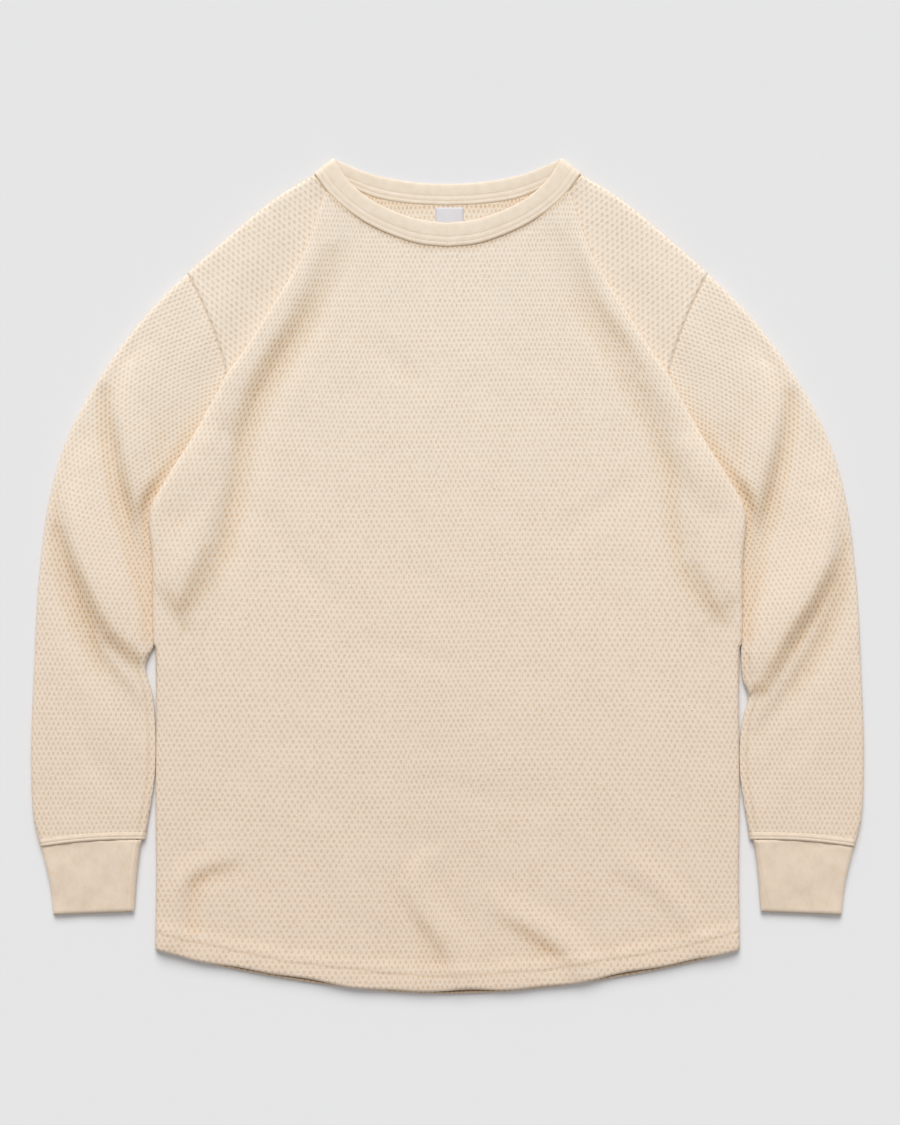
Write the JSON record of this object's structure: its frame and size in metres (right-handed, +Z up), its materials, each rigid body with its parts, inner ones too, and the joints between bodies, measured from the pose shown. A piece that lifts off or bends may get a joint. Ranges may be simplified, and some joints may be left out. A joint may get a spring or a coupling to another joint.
{
  "type": "thermal base layer top",
  "caption": "Long-sleeved waffle knit thermal top laid flat, with ribbed crew neck and cuffs, drop shoulders and a curved hem.",
  "frame": {"origin": "middle of the garment's outline, on the surface that it lies on", "axes": "+Z up from the surface, +Y to the neck, +X to the wearer's left"},
  "size_m": [0.775, 0.777, 0.0108],
  "materials": {
    "knit": "matt cream waffle knit with soft nap",
    "rib": "matt cream fine rib knit",
    "label": "white woven label, left bare"
  },
  "bodies": {
    "root": {"front_panel": "knit", "back_panel": "knit", "sleeve_left": "knit", "sleeve_right": "knit", "cuff_left": "rib", "cuff_right": "rib", "neckband": "rib", "neck_label": "label"}
  },
  "joints": []
}
